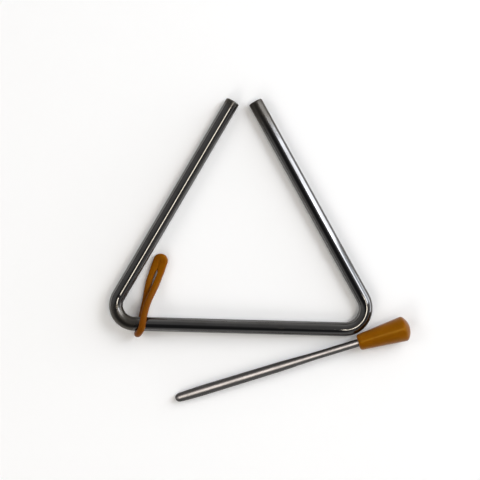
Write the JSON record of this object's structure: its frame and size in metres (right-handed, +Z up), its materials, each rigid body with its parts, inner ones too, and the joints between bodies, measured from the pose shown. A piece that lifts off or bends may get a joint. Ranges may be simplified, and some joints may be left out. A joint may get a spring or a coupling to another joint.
{
  "type": "triangle instrument",
  "caption": "Bent round-bar triangle with an open corner, a soft holder loop hung on its long side, and a straight metal beater with a flared soft grip laid beside it.",
  "frame": {"origin": "centre of the outer box in X and Y, on the table that the part lies on", "axes": "+X along the triangle's long side towards its right corner, +Y towards the open corner, +Z up from the table"},
  "size_m": [0.1714, 0.174, 0.0152],
  "materials": {
    "bar": "polished plating with handling marks",
    "loop": "satin, smooth moulded, orange-brown",
    "rod": "polished plating with handling marks",
    "grip": "satin, smooth moulded, orange-brown"
  },
  "bodies": {
    "triangle": {"triangle_bar": "bar"},
    "loop": {"holder_loop": "loop"},
    "beater": {"beater_rod": "rod", "beater_grip": "grip"}
  },
  "joints": [
    {"name": "loop_swing", "type": "hinge", "parent": "triangle", "child": "loop", "pos_m": [-0.0663, -0.04291, 0.0076], "axis": [0.9996, -0.0002, -0.0266], "continuous": true},
    {"name": "beater_lift", "type": "slide", "parent": "triangle", "child": "beater", "axis": [0, 0, 1], "range_m": [0, 0.12]}
  ]
}
